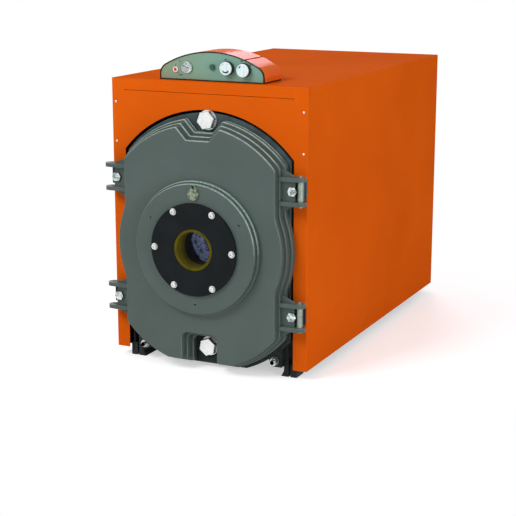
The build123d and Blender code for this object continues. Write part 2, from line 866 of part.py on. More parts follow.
def rope_path():
    """Closed band that follows the door's edge inside the flange."""
    outer = notched(flange_grow - rope_inset, rope_inset - notch_ledge)
    return outer - notched(flange_grow - rope_inset - rope_width, rope_inset + rope_width - notch_ledge)


def plate_bolt_places():
    return ring_places(plate_bolt_ring, plate_bolt_count, 0)


def door_casting():
    """Stepped door with its boss, ears and webs, hollow behind for the refractory."""
    body = door_tier(flange_grow, -notch_ledge, flange_front_y, flange_round)
    body = body + door_tier(step_grow, -notch_ledge / 2, step_front_y, step_round)
    body = body + door_tier(dome_grow, 0, dome_front_y, dome_round)
    body = body + boss_tier(boss_radius, boss_step_y) + boss_tier(boss_radius - boss_step_width, boss_front_y)
    for side in (-1, 1):
        for height in ear_pair_heights:
            body = body + ear_set(side, height)
    near_y = boss_front_y - overrun
    sight_z = base_z + sight_height
    body = body - slab(cavity_outline(), dome_front_y + door_wall, flange_back_y)
    body = body - disc(0, burner_z, throat_outer_radius, near_y, dome_front_y + door_wall + overrun)
    body = body - slab(rope_path(), flange_back_y - rope_seat_depth, flange_back_y + overrun)
    body = body - disc(0, sight_z, sight_bore_radius, near_y, flange_back_y)
    body = body - disc(0, sight_z, sight_glass_radius, near_y, boss_front_y + sight_glass_thickness)
    for x, z in ring_places(plate_radius + tapped_hole_margin, tapped_hole_count, tapped_hole_angle):
        body = body - disc(x, z, tapped_hole_radius, near_y, boss_front_y + tapped_hole_depth)
    for x, z in plate_bolt_places():
        body = body - disc(x, z, plate_bolt_radius, near_y, boss_front_y + plate_bolt_length)
    return body


def door_refractory():
    """Insulating block cast into the door, with the burner bore through it."""
    body = slab(cavity_outline(), dome_front_y + door_wall, flange_back_y - refractory_setback)
    body = body - disc(0, burner_z, throat_inner_radius, dome_front_y, flange_back_y)
    body = body - disc(0, burner_z, throat_outer_radius, dome_front_y, plate_front_y + throat_length)
    return body - disc(0, base_z + sight_height, sight_bore_radius, dome_front_y, flange_back_y)


def door_seal_rope():
    return slab(rope_path(), flange_back_y - rope_seat_depth, front_y - rope_seat_gap)


def burner_plate():
    """Cover plate around the throat, drilled for its bolts."""
    near_y, far_y = plate_front_y - overrun, boss_front_y + overrun
    plate = disc(0, burner_z, plate_radius, plate_front_y, boss_front_y)
    plate = plate - disc(0, burner_z, throat_outer_radius, near_y, far_y)
    for x, z in plate_bolt_places():
        plate = plate - disc(x, z, plate_bolt_radius + plate_bolt_clearance, near_y, far_y)
    return plate


def plate_bolts():
    """Hexagon bolts with washers that hold the burner plate."""
    bolts = []
    for x, z in plate_bolt_places():
        washer_y = plate_front_y - plate_washer_height
        head = hexagon(x, z, plate_bolt_flats, washer_y - plate_bolt_head_height, washer_y)
        head = chamfer(front_edges(head), head_chamfer)
        washer = disc(x, z, plate_washer_radius, washer_y, plate_front_y)
        shank = disc(x, z, plate_bolt_radius, plate_front_y, boss_front_y + plate_bolt_length)
        bolts.append(head + washer + shank)
    return bolts


def throat_ring():
    """Lining ring of the burner bore."""
    far_y = plate_front_y + throat_length
    ring = disc(0, burner_z, throat_outer_radius, plate_front_y, far_y)
    ring = ring - disc(0, burner_z, throat_inner_radius, plate_front_y - overrun, far_y + overrun)
    return fillet(ring.faces().sort_by(Axis.Y)[0].edges(), radius=throat_round)


def closing_bolts():
    """Four bolts that stay in the door's webs when it opens."""
    bolts = []
    seat = front_y - web_front
    for side in (-1, 1):
        for height in ear_pair_heights:
            x, z = side * closing_bolt_x, base_z + height
            head = hexagon(x, z, closing_bolt_flats, seat - closing_bolt_head_height, seat)
            head = chamfer(front_edges(head), head_chamfer)
            bolts.append(head + disc(x, z, closing_bolt_radius, seat, seat + closing_bolt_length))
    return bolts


def hinge_pin(pair_height):
    """Pin with the barrel that keeps the ears apart."""
    z = base_z + pair_height
    half = (ear_spacing + ear_thickness) / 2 + pin_end
    barrel_half = (ear_spacing - ear_thickness) / 2 - barrel_end_clearance
    pin = upright(pin_x, pin_y, pin_radius, z - half, z + half)
    return pin + upright(pin_x, pin_y, barrel_radius, z - barrel_half, z + barrel_half)


def sight_glass():
    far_y = boss_front_y + sight_glass_thickness
    return disc(0, base_z + sight_height, sight_glass_radius, boss_front_y, far_y)


def sight_pivot():
    """Rivet that carries the swinging cover."""
    z = base_z + sight_height + sight_pivot_rise
    head_y = boss_front_y - sight_cover_gap - sight_cover_thickness - sight_cover_gap
    stem = disc(0, z, sight_pivot_radius, head_y, boss_front_y)
    return stem + disc(0, z, sight_pivot_head_radius, head_y - sight_pivot_head_height, head_y)


def sight_cover():
    """Teardrop cover that hangs over the sight hole."""
    z = base_z + sight_height
    pivot_z = z + sight_pivot_rise
    lean = (sight_cover_radius - sight_eye_radius) / sight_pivot_rise
    flank = sqrt(1 - lean**2)
    points = []
    for centre, radius in ((z, sight_cover_radius), (pivot_z, sight_eye_radius)):
        points.append((radius * flank, centre + radius * lean))
    points += [(-x, height) for x, height in reversed(points)]
    outline = Pos(0, z) * Circle(sight_cover_radius) + Pos(0, pivot_z) * Circle(sight_eye_radius)
    outline = outline + make_face(Polyline(*points, close=True))
    near_y = boss_front_y - sight_cover_gap - sight_cover_thickness
    cover = slab(outline, near_y, boss_front_y - sight_cover_gap)
    eye = sight_pivot_radius + sight_running_clearance
    return cover - disc(0, pivot_z, eye, near_y - overrun, boss_front_y)


def solids_of(shapes):
    """Every solid of a shape or of a list of shapes."""
    found = []
    for shape in shapes if isinstance(shapes, list) else [shapes]:
        found.extend(shape.solids())
    return found


nodes = {
    "front_panel": front_panel(),
    "top_panel": top_panel(),
    "left_panel": side_panel(-1),
    "right_panel": side_panel(1),
    "rear_panel": rear_panel(),
    "panel_screws": panel_screws(),
    "corner_brackets": corner_brackets(),
    "control_hood": control_hood(),
    "control_fascia": control_fascia(),
    "temperature_gauge": temperature_gauge(),
    "reset_button": push_control(reset_shares, reset_radius, reset_height),
    "mode_switch": push_control(switch_shares, switch_radius, switch_height),
    "thermostat_knob": knob(thermostat_shares),
    "limit_knob": knob(limit_shares),
    "front_section": front_section(),
    "rear_section": rear_section(),
    "tie_rods": tie_rods(),
    "top_port_plug": port_plug(port_top_height, plug_turn_angles[0]),
    "bottom_port_plug": port_plug(port_bottom_height, plug_turn_angles[1]),
    "flue_box": flue_box(),
    "flue_collar": flue_collar(),
    "flow_connection": water_connection(flow_height),
    "return_connection": water_connection(return_height),
    "upper_hinge_pin": hinge_pin(ear_pair_heights[0]),
    "lower_hinge_pin": hinge_pin(ear_pair_heights[1]),
    "door_casting": door_casting(),
    "door_refractory": door_refractory(),
    "door_seal_rope": door_seal_rope(),
    "burner_plate": burner_plate(),
    "plate_bolts": plate_bolts(),
    "throat_ring": throat_ring(),
    "closing_bolts": closing_bolts(),
    "sight_glass": sight_glass(),
    "sight_pivot": sight_pivot(),
    "sight_cover": sight_cover(),
}
for index in range(1, section_count - 1):
    nodes[f"middle_section_{index}"] = middle_section(index)

os.makedirs("parts", exist_ok=True)
for name, shape in nodes.items():
    solids = solids_of(shape)
    result = solids[0] if len(solids) == 1 else Compound(children=solids)
    export_step(result, f"parts/{name}.step")
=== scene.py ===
from math import cos, pi, radians, sin

import bmesh
import bpy
from mathutils import Matrix, Vector


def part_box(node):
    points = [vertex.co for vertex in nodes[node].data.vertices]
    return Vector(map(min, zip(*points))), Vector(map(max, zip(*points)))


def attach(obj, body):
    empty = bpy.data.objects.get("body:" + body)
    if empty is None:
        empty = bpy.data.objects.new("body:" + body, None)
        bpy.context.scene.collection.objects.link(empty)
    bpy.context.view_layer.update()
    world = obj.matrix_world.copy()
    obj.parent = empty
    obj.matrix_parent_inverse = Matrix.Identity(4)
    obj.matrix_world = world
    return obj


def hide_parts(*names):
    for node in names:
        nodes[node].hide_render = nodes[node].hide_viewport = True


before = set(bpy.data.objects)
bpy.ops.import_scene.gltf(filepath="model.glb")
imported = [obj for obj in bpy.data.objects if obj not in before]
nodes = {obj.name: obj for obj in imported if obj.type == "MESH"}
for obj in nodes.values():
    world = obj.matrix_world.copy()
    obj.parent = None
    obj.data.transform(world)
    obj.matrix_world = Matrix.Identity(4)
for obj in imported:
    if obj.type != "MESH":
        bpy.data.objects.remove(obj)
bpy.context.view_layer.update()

# Camera of the photograph: place, aim and lens
CAMERA_PLACE = (2.16785, -4.86258, 1.53946)
CAMERA_AIM = (0.16045, -0.60289, 0.40933)
CAMERA_LENS = 94.58
SENSOR_WIDTH = 36.0

# Lamps: name, place, target, size, power and tint
MIDDLE = (0.0, 0.0, 0.55)
WHITE = (1.0, 1.0, 1.0)
AREA_LAMPS = (
    ("key", (-2.2, -4.6, 4.4), MIDDLE, (2.4, 2.0), 185.0, WHITE),
    ("side", (5.2, -2.6, 1.3), MIDDLE, (1.6, 3.0), 110.0, WHITE),
    ("back", (-1.75, 4.6, 3.0), (0.1, 0.1, 1.0), (2.0, 1.4), 90.0, (0.95, 0.82, 1.0)),
)
CHAMBER_POWER = 7.0
CHAMBER_TINT = (0.80, 0.88, 1.0)
CHAMBER_LAMP_RADIUS = 0.05
CHAMBER_DEPTH = 0.30
WORLD_LEVEL = 0.42

# Floor, and the distances over which it fades to white
FLOOR_SIZE = 60.0
FLOOR_GREY = (0.86, 0.86, 0.86)
FLOOR_LIFT = 0.48
FADE_START = 0.6
FADE_END = 1.4

# Colours in linear light; a pair holds the two shades between which a surface varies
SHEET_PAINT = (0.675, 0.102, 0.0045), (0.725, 0.114, 0.0055)
SHEET_INNER_SHADE = (0.020, 0.022, 0.022)
HOOD_PAINT = (0.80, 0.128, 0.010), (0.88, 0.150, 0.014)
HOOD_JOINT = (0.40, 0.045, 0.005)
HOOD_EDGE_SHADE = (0.022, 0.010, 0.007)
DOOR_ENAMEL = (0.066, 0.094, 0.085), (0.076, 0.106, 0.097)
DOOR_SPECK = (0.052, 0.072, 0.066)
EDGE_HIGHLIGHT_AND_WEAR = (0.52, 0.68, 0.62)
IRON_BLACK = (0.012, 0.018, 0.017)
IRON_SLATE = (0.052, 0.082, 0.088)
IRON_GRIME = (0.030, 0.034, 0.034)
ASH = (0.22, 0.25, 0.37), (0.40, 0.43, 0.55)
ASH_GAP = (0.045, 0.046, 0.080)
PLATE_ENAMEL = (0.0060, 0.0080, 0.0090), (0.0090, 0.0115, 0.0130)
BRIGHT_ZINC = (0.80, 0.82, 0.81), (0.88, 0.89, 0.88)
DULL_ZINC = (0.24, 0.31, 0.30), (0.78, 0.84, 0.82)
PIPE_ZINC = (0.36, 0.38, 0.39), (0.52, 0.54, 0.55)
BARREL_ZINC = (0.22, 0.27, 0.23), (0.34, 0.40, 0.34)
OLIVE_FIBRE = (0.078, 0.062, 0.001), (0.105, 0.085, 0.004)
SOOTED_FIBRE = (0.012, 0.010, 0.007), (0.030, 0.024, 0.016)
ROPE_YARN = (0.42, 0.40, 0.35), (0.62, 0.60, 0.54)
COVER_PAINT = (0.095, 0.130, 0.088), (0.270, 0.310, 0.220)
SMOKED_GLASS = (0.05, 0.045, 0.03), (0.12, 0.10, 0.06)
CLEAR_GLASS = (0.97, 1.0, 0.99)
FASCIA_LEFT = (0.205, 0.275, 0.165)
FASCIA_RIGHT = (0.158, 0.325, 0.250)
FASCIA_WEAVE = (0.30, 0.42, 0.36)
FASCIA_EDGE_DARK = (0.010, 0.014, 0.012)
KNOB_WHITE = (0.72, 0.84, 0.86), (0.80, 0.90, 0.91)
DIAL_GREY = (0.34, 0.40, 0.39), (0.52, 0.58, 0.57)
DARK_SIDE = (0.020, 0.040, 0.034)
COLLAR_ROSE = (0.74, 0.60, 0.56), (0.82, 0.68, 0.64)
BUTTON_RED = (0.50, 0.015, 0.03), (0.60, 0.025, 0.04)
SWITCH_GREEN = (0.022, 0.066, 0.046), (0.036, 0.092, 0.066)
INK_BLACK = (0.012, 0.020, 0.017), (0.02, 0.03, 0.026)

# Where the looks change, in metres unless they are shares
SOFTNESS = 0.0006
HOOD_SEAM_SHARE = 0.64
HOOD_SEAM_WIDTH = 0.0045
HOOD_MOUTH_SHADE = 0.006
HOOD_FOOT_SHADOW = 0.004
HOOD_COAT = 0.14
FASCIA_EDGE_REACH = 0.0028
FASCIA_BLEND = (-0.18, 0.02)
SLATE_HEIGHTS = (0.30, 0.60)
FEET_HEIGHT = 0.16
KNOB_CAP_DEPTH = 0.0035
BEZEL_DEPTH = 0.0016

# Pale edges of the door, painted highlight on edges that face up and right and partly wear: how wide, which
# way they face, and from where the ears have less
EDGE_REACH = 0.008
EDGE_LIGHT_SIDE = (0.30, -0.38, 0.87)
EDGE_FACING = (0.40, 0.74)
EAR_START = (0.275, 0.300)
EAR_HIGHLIGHT_AND_WEAR = 0.25

# Zinc heads: the way their fronts face, and the brightness left on their flanks by painted shade
FRONT = (0.0, -1.0, 0.0)
FLANK_SHADE_LEVEL = 0.45

# Added pieces: how far print stands off a face, how round turned pieces are and which edges stay sharp
LIFT = 0.00015
SEGMENTS = 48
SHARP_ANGLE = radians(35)

# Panel screws; the crown runs from rim to top as shares of the head's radius and height
SCREW_RADIUS = 0.004
SCREW_HEIGHT = 0.002
SCREW_CROWN = ((1.0, 0.35), (0.93, 0.70), (0.75, 0.92), (0.45, 1.0))
SCREW_SLOT_LENGTH = 0.0048
SCREW_SLOT_WIDTH = 0.0011
SCREW_SLOT_DEPTH = 0.0012
SCREW_TURNS = (radians(20), radians(110))

# Threads on the rods and dishes on the plate bolts
THREAD_PITCH = 0.002
THREAD_DEPTH = 0.0006
THREAD_TURNS = 4
THREAD_SEGMENTS = 32
DIMPLE_SHARE = 0.46
END_SPREAD = 0.04

# Temperature gauge; marks are (length, width), and the needle's sizes are shares of the dial's radius
DIAL_START = radians(225)
DIAL_SWEEP = radians(270)
DIAL_THICKNESS = 3 * LIFT
DIAL_MARKS = 13
GAUGE_RIM = 0.0025
LONG_MARK = (0.0034, 0.0007)
SHORT_MARK = (0.0020, 0.0004)
MARK_MARGIN = 0.0014
NUMBERS = ((0.0, "0"), (0.5, "60"), (1.0, "120"))
NUMBER_HEIGHT = 0.0042
NUMBER_REACH = 0.58
NEEDLE_READING = 0.22
NEEDLE_OFFSET = 0.15
NEEDLE_LENGTH = 1.3
NEEDLE_WIDTH = 0.0028
HUB_RADIUS = 0.0022
HUB_TOP_RADIUS = 0.0014
LENS_SETBACK = 0.0009
LENS_SHOULDER = 0.7

# Knobs: printed scale, a dark crescent low on the thermostat knob (radius, width, start and end) and pointer
# line
KNOB_MARKS = 11
KNOB_MARK = (0.0034, 0.0008)
KNOB_SCALE_GAP = 0.0040
KNOB_FACE_DEPTH = 0.003
KNOB_CRESCENT = (0.0135, 0.0055, radians(215), radians(330))
CRESCENT_STEPS = 16
POINTER_OFFSET = (-0.0110, 0.0125)
POINTER = (0.0075, 0.0018)

# Collar of the reset button, as distances from the button's rim
COLLAR_GAP = 0.0002
COLLAR_REACH = 0.0022
COLLAR_BEVEL = 0.0010
COLLAR_LIP = 0.0018

# Marks on the control panel: place as shares of its half-width and height, length and height in metres
PANEL_MARKS = (
    (0.274, 0.755, 0.009, 0.0045),
    (0.576, 0.731, 0.009, 0.0045),
    (0.743, 0.612, 0.004, 0.0070),
    (-0.608, 0.640, 0.004, 0.0050),
    (-0.696, 0.500, 0.003, 0.0070),
    (-0.647, 0.246, 0.004, 0.0030),
    (-0.592, 0.172, 0.017, 0.0040),
)


def new_material(name):
    """A material with its node tree and its surface shader."""
    material = bpy.data.materials.new(name)
    material.use_nodes = True
    tree = material.node_tree
    return material, tree, tree.nodes["Principled BSDF"]


def maths(tree, operation, *values):
    """A math node over other nodes' outputs and plain numbers."""
    node = tree.nodes.new("ShaderNodeMath")
    node.operation = operation
    for value, socket in zip(values, node.inputs):
        if isinstance(value, float):
            socket.default_value = value
        else:
            tree.links.new(value, socket)
    return node.outputs["Value"]


def object_place(tree, stretch=None):
    """Object coordinates, with each axis scaled where a grain is brushed or streaked."""
    place = tree.nodes.new("ShaderNodeTexCoord").outputs["Object"]
    if stretch is None:
        return place
    mapping = tree.nodes.new("ShaderNodeMapping")
    mapping.inputs["Scale"].default_value = stretch
    tree.links.new(place, mapping.inputs["Vector"])
    return mapping.outputs["Vector"]


def coordinate(tree, axis):
    """One of a point's own X, Y and Z."""
    split = tree.nodes.new("ShaderNodeSeparateXYZ")
    tree.links.new(object_place(tree), split.inputs["Vector"])
    return split.outputs[axis]


def noise(tree, scale, detail=3.0, stretch=None):
    """Soft random values between 0 and 1, finer with a higher scale."""
    node = tree.nodes.new("ShaderNodeTexNoise")
    node.inputs["Scale"].default_value = scale
    node.inputs["Detail"].default_value = detail
    tree.links.new(object_place(tree, stretch), node.inputs["Vector"])
    return node.outputs["Fac"]


def cells(tree, scale):
    """A grey tone for each cell of a cracked pattern, and the distance from its middle."""
    node = tree.nodes.new("ShaderNodeTexVoronoi")
    node.inputs["Scale"].default_value = scale
    tree.links.new(object_place(tree), node.inputs["Vector"])
    tone = tree.nodes.new("ShaderNodeRGBToBW")
    tree.links.new(node.outputs["Color"], tone.inputs["Color"])
    return tone.outputs["Val"], node.outputs["Distance"]


def spread(tree, value, low, high, new_low=0.0, new_high=1.0):
    """Stretch the part of a value between low and high over a new range."""
    node = tree.nodes.new("ShaderNodeMapRange")
    node.inputs["From Min"].default_value = low
    node.inputs["From Max"].default_value = high
    node.inputs["To Min"].default_value = new_low
    node.inputs["To Max"].default_value = new_high
    tree.links.new(value, node.inputs["Value"])
    return node.outputs["Result"]


def distance_band(tree, value, middle, near, far):
    """1 within a near distance of the middle value, fading to 0 at a far one."""
    away = maths(tree, "ABSOLUTE", maths(tree, "SUBTRACT", value, middle))
    return spread(tree, away, near, far, 1.0, 0.0)


def beyond(tree, axis, limit):
    """0 up to a limit along an axis, and 1 beyond it."""
    return spread(tree, coordinate(tree, axis), limit, limit + SOFTNESS)


def facing(tree, direction, low, high):
    """How much the surface faces a direction of the object's own frame."""
    geometry = tree.nodes.new("ShaderNodeNewGeometry")
    product = tree.nodes.new("ShaderNodeVectorMath")
    product.operation = "DOT_PRODUCT"
    tree.links.new(geometry.outputs["Normal"], product.inputs[0])
    product.inputs[1].default_value = Vector(direction).normalized()
    return spread(tree, product.outputs["Value"], low, high)


def raised_edges(tree, reach):
    """How near a point is to an outer edge, broken up a little by noise."""
    inside = tree.nodes.new("ShaderNodeAmbientOcclusion")
    inside.inside = True
    inside.only_local = True
    inside.samples = 8
    inside.inputs["Distance"].default_value = reach
    edge = spread(tree, inside.outputs["AO"], 0.97, 0.68)
    broken = spread(tree, noise(tree, 60.0), 0.30, 0.60, 0.6, 1.0)
    return maths(tree, "MULTIPLY", edge, broken)


def blend_colours(tree, factor, first, second):
    """Mix two colours, each a tuple or another node's output."""
    node = tree.nodes.new("ShaderNodeMix")
    node.data_type = "RGBA"
    tree.links.new(factor, node.inputs["Factor"])
    for value, socket in ((first, node.inputs[6]), (second, node.inputs[7])):
        if isinstance(value, tuple):
            socket.default_value = (*value, 1.0)
        else:
            tree.links.new(value, socket)
    return node.outputs[2]


def mottled(tree, scale, shades, low=0.35, high=0.65):
    """A pair of shades mixed in soft patches."""
    return blend_colours(tree, spread(tree, noise(tree, scale), low, high), *shades)


def set_roughness(tree, shader, grain, rough):
    """Let the roughness follow a grain between two values."""
    tree.links.new(spread(tree, grain, 0.3, 0.7, *rough), shader.inputs["Roughness"])


def link_look(tree, shader, colour, grain, rough, *bumps):
    """Link a colour, a roughness and a chain of bumps, each a height, its depth in metres and a strength."""
    tree.links.new(colour, shader.inputs["Base Color"])
    set_roughness(tree, shader, grain, rough)
    below = None
    for height, depth, strength in bumps:
        node = tree.nodes.new("ShaderNodeBump")
        node.inputs["Distance"].default_value = depth
        node.inputs["Strength"].default_value = strength
        tree.links.new(height, node.inputs["Height"])
        if below is not None:
            tree.links.new(below, node.inputs["Normal"])
        below = node.outputs["Normal"]
    if below is not None:
        tree.links.new(below, shader.inputs["Normal"])


def painted_sheet(name, inner_side=None):
    """Powder coat on steel sheet: fine orange peel, faint cloudiness, and painted shade on the inner side.
    """
    material, tree, shader = new_material(name)
    colour = mottled(tree, 2.4, SHEET_PAINT)
    # painted shade: the inner side of a side panel is made dark
    if inner_side:
        colour = blend_colours(tree, facing(tree, inner_side, 0.5, 0.9), colour, SHEET_INNER_SHADE)
    shader.inputs["Specular IOR Level"].default_value = 0.0
    shader.inputs["Coat Weight"].default_value = 0.01
    shader.inputs["Coat Roughness"].default_value = 0.35
    peel = noise(tree, 420.0, 2.0), 0.00012, 0.35
    waves = noise(tree, 2.2, 1.0), 0.004, 0.05
    link_look(tree, shader, colour, noise(tree, 9.0), (0.46, 0.54), peel, waves)
    return material


def painted_hood():
    """Control housing: a glossy coat, a joint between two shells, painted shade at its mouth and a painted
    shadow along its foot.
    """
    material, tree, shader = new_material("painted_hood")
    low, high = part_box("control_hood")
    seam_x = HOOD_SEAM_SHARE * high.x
    groove = distance_band(tree, coordinate(tree, "X"), seam_x, HOOD_SEAM_WIDTH / 2, HOOD_SEAM_WIDTH)
    colour = blend_colours(tree, groove, mottled(tree, 6.0, HOOD_PAINT), HOOD_JOINT)
    # painted shade on the rim at the mouth, and a painted shadow along the foot
    colour = blend_colours(tree, beyond(tree, "Y", low.y + HOOD_MOUTH_SHADE), HOOD_EDGE_SHADE, colour)
    colour = blend_colours(tree, beyond(tree, "Z", low.z + HOOD_FOOT_SHADOW), HOOD_EDGE_SHADE, colour)
    shader.inputs["Specular IOR Level"].default_value = 0.0
    shader.inputs["Coat Roughness"].default_value = 0.12
    tree.links.new(spread(tree, groove, 0.0, 1.0, HOOD_COAT, 0.0), shader.inputs["Coat Weight"])
    peel = noise(tree, 260.0, 2.0), 0.0001, 0.3
    link_look(tree, shader, colour, noise(tree, 12.0), (0.30, 0.38), peel, (groove, -0.0010, 0.4))
    return material


def painted_casting():
    """Grey-green enamel over sand-cast iron, pale along its raised edges: painted highlight where they face
    up and right, partly wear.
    """
    material, tree, shader = new_material("painted_casting")
    speck = spread(tree, noise(tree, 600.0, 1.0), 0.62, 0.74)
    paint = blend_colours(tree, speck, mottled(tree, 5.0, DOOR_ENAMEL), DOOR_SPECK)
    # painted highlight, with a little wear: raised edges that face up and right are made pale
    towards = facing(tree, EDGE_LIGHT_SIDE, *EDGE_FACING)
    highlight_and_wear = maths(tree, "MULTIPLY", raised_edges(tree, EDGE_REACH), towards)
    off_ears = distance_band(tree, coordinate(tree, "X"), 0.0, *EAR_START)
    highlight_and_wear = maths(tree, "MULTIPLY", highlight_and_wear, spread(tree, off_ears, 0.0, 1.0, EAR_HIGHLIGHT_AND_WEAR, 1.0))
    colour = blend_colours(tree, highlight_and_wear, paint, EDGE_HIGHLIGHT_AND_WEAR)
    shader.inputs["Specular IOR Level"].default_value = 0.35
    sand = noise(tree, 240.0, 3.0), 0.0006, 0.22
    waves = noise(tree, 26.0, 2.0), 0.0012, 0.08
    link_look(tree, shader, colour, noise(tree, 40.0), (0.33, 0.43), sand, waves)
    return material


def raw_casting():
    """Iron sections: slate higher up, going to black towards the feet."""
    material, tree, shader = new_material("raw_casting")
    # darker towards the bottom
    height = spread(tree, coordinate(tree, "Z"), *SLATE_HEIGHTS)
    colour = blend_colours(tree, height, IRON_BLACK, IRON_SLATE)
    colour = blend_colours(tree, spread(tree, noise(tree, 18.0), 0.45, 0.75), colour, IRON_GRIME)
    shader.inputs["Specular IOR Level"].default_value = 0.2
    sand = noise(tree, 180.0, 4.0), 0.0012, 0.45
    link_look(tree, shader, colour, noise(tree, 55.0), (0.50, 0.72), sand)
    return material


def fired_iron():
    """Fire side of the sections: pale ash, dark in the gaps that it leaves, over feet in black primer."""
    material, tree, shader = new_material("fired_iron")
    gaps = spread(tree, noise(tree, 55.0, 2.0, (1.0, 0.5, 1.3)), 0.38, 0.50)
    fired = blend_colours(tree, gaps, ASH_GAP, mottled(tree, 34.0, ASH))
    colour = blend_colours(tree, beyond(tree, "Z", FEET_HEIGHT), IRON_BLACK, fired)
    crumbs = noise(tree, 300.0, 4.0), 0.0009, 0.5
    link_look(tree, shader, colour, noise(tree, 80.0), (0.75, 0.92), (gaps, 0.0015, 0.6), crumbs)
    return material


def black_steel():
    """Mounting plate: black enamel on turned steel."""
    material, tree, shader = new_material("black_steel")
    shader.inputs["Specular IOR Level"].default_value = 0.1
    grain = noise(tree, 420.0, 2.0), 0.0003, 0.3
    link_look(tree, shader, mottled(tree, 16.0, PLATE_ENAMEL), noise(tree, 30.0), (0.42, 0.55), grain)
    return material


def zinc_steel(name, shades, patches=70.0):
    """Zinc plate on steel, with painted shade on the flanks that turn away from the front."""
    material, tree, shader = new_material(name)
    bright = mottled(tree, patches, shades, 0.40, 0.60)
    # painted shade: flanks turned away from the front are darkened
    shaded_flanks = tuple(FLANK_SHADE_LEVEL * part for part in shades[0])
    colour = blend_colours(tree, facing(tree, FRONT, 0.3, 0.9), shaded_flanks, bright)
    shader.inputs["Metallic"].default_value = 0.85
    brushed = noise(tree, 900.0, 2.0, (1.0, 0.2, 1.0)), 0.00006, 0.4
    link_look(tree, shader, colour, noise(tree, 140.0), (0.24, 0.36), brushed)
    return material


def galvanised_steel():
    """Dull zinc on pipes and flanges."""
    material, tree, shader = new_material("galvanised_steel")
    spangle, _ = cells(tree, 90.0)
    shader.inputs["Metallic"].default_value = 0.8
    grain = noise(tree, 200.0, 2.0), 0.0002, 0.3
    colour = blend_colours(tree, spangle, *PIPE_ZINC)
    link_look(tree, shader, colour, noise(tree, 60.0), (0.38, 0.52), grain)
    return material


def barrel_steel():
    """Hinge barrels: greenish passivated zinc."""
    material, tree, shader = new_material("barrel_steel")
    shader.inputs["Metallic"].default_value = 0.75
    grain = noise(tree, 700.0, 2.0, (1.0, 1.0, 0.15))
    link_look(tree, shader, mottled(tree, 50.0, BARREL_ZINC), grain, (0.34, 0.50), (grain, 0.00008, 0.4))
    return material


def fibre_lining(name, shades):
    """Ceramic fibre: matt, felted, uneven in colour."""
    material, tree, shader = new_material(name)
    shader.inputs["Specular IOR Level"].default_value = 0.1
    felt = noise(tree, 520.0, 5.0, (1.0, 0.35, 1.0)), 0.0009, 0.5
    link_look(tree, shader, mottled(tree, 34.0, shades), noise(tree, 80.0), (0.75, 0.92), felt)
    return material


def rope_braid():
    """Braided fibreglass seal."""
    material, tree, shader = new_material("rope_braid")
    wave = tree.nodes.new("ShaderNodeTexWave")
    wave.inputs["Scale"].default_value = 160.0
    wave.inputs["Distortion"].default_value = 3.0
    tree.links.new(object_place(tree), wave.inputs["Vector"])
    strands = wave.outputs["Fac"]
    colour = blend_colours(tree, strands, *ROPE_YARN)
    link_look(tree, shader, colour, noise(tree, 100.0), (0.8, 0.95), (strands, 0.0012, 0.6))
    return material


def fascia_film():
    """Grey-green film on the control panel, a little worn at its left end, and darker along its edges."""
    material, tree, shader = new_material("fascia_film")
    side = spread(tree, coordinate(tree, "X"), *FASCIA_BLEND)
    colour = blend_colours(tree, side, FASCIA_LEFT, FASCIA_RIGHT)
    weave = spread(tree, noise(tree, 300.0, 2.0), 0.4, 0.6, 0.0, 0.12)
    colour = blend_colours(tree, weave, colour, FASCIA_WEAVE)
    # darker along the film's edges
    colour = blend_colours(tree, raised_edges(tree, FASCIA_EDGE_REACH), colour, FASCIA_EDGE_DARK)
    grain = noise(tree, 800.0, 2.0), 0.00006, 0.4
    link_look(tree, shader, colour, noise(tree, 30.0), (0.34, 0.42), grain)
    return material


def moulded_plastic(name, shades, rough=(0.30, 0.40), cap=None):
    """Moulded plastic with a faint spark-eroded texture; a cap is a node and the depth of its pale face."""
    material, tree, shader = new_material(name)
    colour = mottled(tree, 90.0, shades)
    if cap:
        node, depth = cap
        behind = beyond(tree, "Y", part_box(node)[0].y + depth)
        colour = blend_colours(tree, behind, colour, DARK_SIDE)
    texture = noise(tree, 1500.0, 2.0), 0.00004, 0.5
    link_look(tree, shader, colour, noise(tree, 240.0), rough, texture)
    return material


def clear_glass():
    """Lens of the gauge."""
    material, tree, shader = new_material("clear_glass")
    shader.inputs["Base Color"].default_value = (*CLEAR_GLASS, 1.0)
    shader.inputs["Transmission Weight"].default_value = 0.92
    shader.inputs["IOR"].default_value = 1.2
    set_roughness(tree, shader, noise(tree, 60.0), (0.03, 0.07))
    return material


def hot_glass():
    """Smoked glass of the sight hole."""
    material, tree, shader = new_material("hot_glass")
    link_look(tree, shader, mottled(tree, 120.0, SMOKED_GLASS), noise(tree, 200.0), (0.08, 0.2))
    return material


def stamped_cover():
    """Sight cover: stamped plate with stale paint over a hammered face."""
    material, tree, shader = new_material("stamped_cover")
    tone, from_middle = cells(tree, 110.0)
    colour = blend_colours(tree, spread(tree, tone, 0.3, 0.7), *COVER_PAINT)
    shader.inputs["Specular IOR Level"].default_value = 0.2
    link_look(tree, shader, colour, noise(tree, 120.0), (0.45, 0.60), (from_middle, 0.0008, 0.5))
    return material


def add_object(name, data):
    """Make an object of some data and put it in the scene."""
    item = bpy.data.objects.new(name, data)
    bpy.context.scene.collection.objects.link(item)
    return item


def to_mesh(name, work):
    """A mesh with what a bmesh holds, which is then freed."""
    mesh = bpy.data.meshes.new(name)
    work.to_mesh(mesh)
    work.free()
    return mesh


def add_piece(name, mesh, material, body):
    """Put a mesh in the scene as a visible piece that rides on a body."""
    piece = add_object(name, mesh)
    mesh.materials.append(material)
    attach(piece, body)
    return piece


